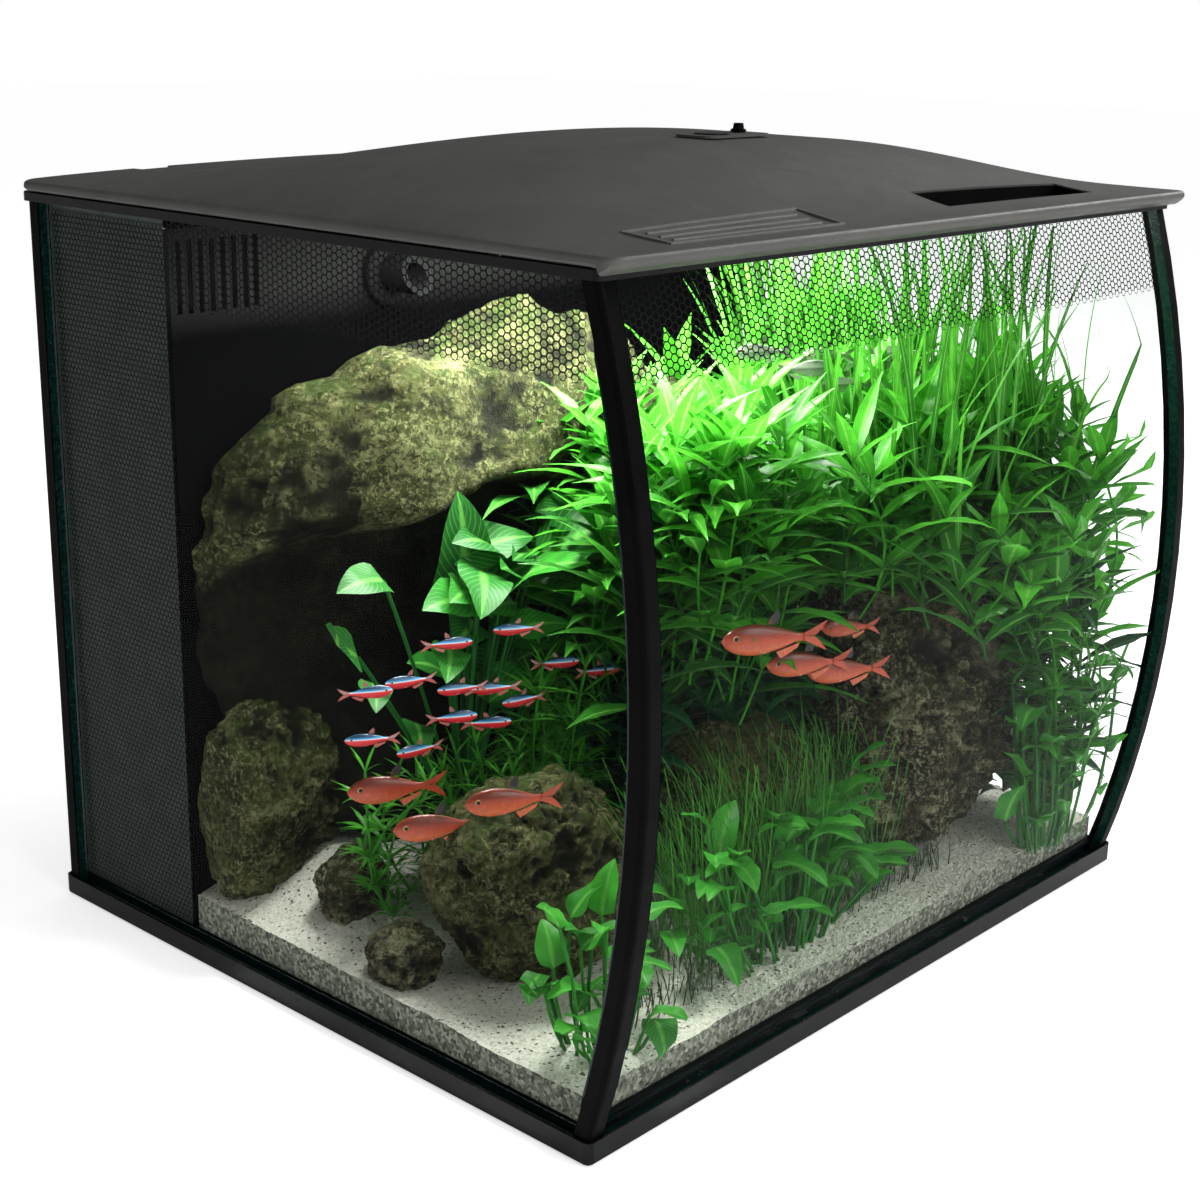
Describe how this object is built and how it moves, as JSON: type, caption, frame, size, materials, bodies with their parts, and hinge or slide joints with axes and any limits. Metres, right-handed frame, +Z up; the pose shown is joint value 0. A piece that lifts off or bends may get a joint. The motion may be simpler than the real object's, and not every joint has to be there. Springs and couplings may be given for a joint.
{
  "type": "aquarium",
  "caption": "Glass aquarium with a curved front, hinged hood with lamp and feeding slot, rear filter chamber, and a planted stone and sand layout.",
  "frame": {"origin": "middle of the footprint, on the surface the tank stands on", "axes": "+X across the width, the curved front faces -Y, +Z up"},
  "size_m": [0.419, 0.3835, 0.385],
  "materials": {
    "glass": "polished float glass",
    "silicone": "smooth black silicone",
    "frame_plastic": "semi-gloss black",
    "hood_plastic": "fine-grained charcoal",
    "filter_plastic": "satin black",
    "foam": "open-cell filter foam",
    "ceramic_media": "matte ceramic rings in a net bag",
    "carbon_media": "granular carbon in a net bag",
    "impeller_plastic": "moulded plastic",
    "ceramic_shaft": "ground ceramic",
    "hose_rubber": "black vinyl",
    "steel_pin": "drawn stainless wire",
    "aluminium": "anodised extrusion",
    "circuit_board": "white solder mask",
    "clear_lens": "clear moulded lens",
    "sand": "pale aquarium sand",
    "stone": "rough mossy rock",
    "leaf": "aquatic leaves"
  },
  "bodies": {
    "tank": {"base_frame": "frame_plastic", "bottom_glass": "glass", "front_glass": "glass", "left_glass": "glass", "right_glass": "glass", "rear_glass": "glass", "front_left_corner_seam": "silicone", "front_right_corner_seam": "silicone", "rear_left_corner_seam": "silicone", "rear_right_corner_seam": "silicone", "top_frame": "frame_plastic", "filter_partition": "filter_plastic", "left_baffle": "filter_plastic", "right_baffle": "filter_plastic", "left_foam_block": "foam", "right_foam_block": "foam", "left_foam_cradle": "filter_plastic", "right_foam_cradle": "filter_plastic", "media_basket": "filter_plastic", "ceramic_media_bag": "ceramic_media", "carbon_media_bag": "carbon_media", "pump_body": "filter_plastic", "pump_intake_cover": "filter_plastic", "impeller_shaft": "ceramic_shaft", "riser_hose": "hose_rubber", "outlet_tee": "filter_plastic", "left_outlet_hose": "hose_rubber", "right_outlet_hose": "hose_rubber", "left_nozzle_socket": "filter_plastic", "right_nozzle_socket": "filter_plastic", "left_hinge_block": "frame_plastic", "right_hinge_block": "frame_plastic", "left_hinge_pin": "steel_pin", "right_hinge_pin": "steel_pin", "sand_bed": "sand", "back_boulder": "stone", "left_boulder": "stone", "centre_stone": "stone", "middle_stone": "stone", "right_boulder": "stone", "front_anubias": "leaf", "corner_anubias": "leaf", "right_anubias": "leaf", "tall_anubias": "leaf", "left_stem_plant": "leaf", "stem_plant_thicket": "leaf", "ribbon_grass": "leaf"},
    "hood": {"hood_shell": "hood_plastic", "left_hinge_arm": "hood_plastic", "right_hinge_arm": "hood_plastic", "led_housing": "aluminium", "led_board": "circuit_board", "led_lens": "clear_lens", "led_bracket": "hood_plastic", "control_panel": "hood_plastic", "cable_gland": "silicone"},
    "button": {"touch_button": "frame_plastic"},
    "impeller": {"impeller": "impeller_plastic"},
    "left_nozzle": {"left_nozzle": "filter_plastic"},
    "right_nozzle": {"right_nozzle": "filter_plastic"}
  },
  "joints": [
    {"name": "hood_hinge", "type": "hinge", "parent": "tank", "child": "hood", "pos_m": [0, 0.1893, 0.352], "axis": [-1, 0, 0], "range_deg": [0, 90]},
    {"name": "button_press", "type": "slide", "parent": "hood", "child": "button", "axis": [0, 0, -1], "range_m": [0, 0.0006], "stiffness_N_per_m": 400},
    {"name": "impeller_spin", "type": "hinge", "parent": "tank", "child": "impeller", "pos_m": [0.045, 0.12725, 0.042], "axis": [0, 1, 0], "continuous": true},
    {"name": "left_nozzle_turn", "type": "hinge", "parent": "tank", "child": "left_nozzle", "pos_m": [-0.075, 0.0903, 0.312], "axis": [0, -1, 0], "range_deg": [-90, 90]},
    {"name": "right_nozzle_turn", "type": "hinge", "parent": "tank", "child": "right_nozzle", "pos_m": [0.075, 0.0903, 0.312], "axis": [0, -1, 0], "range_deg": [-90, 90]}
  ]
}
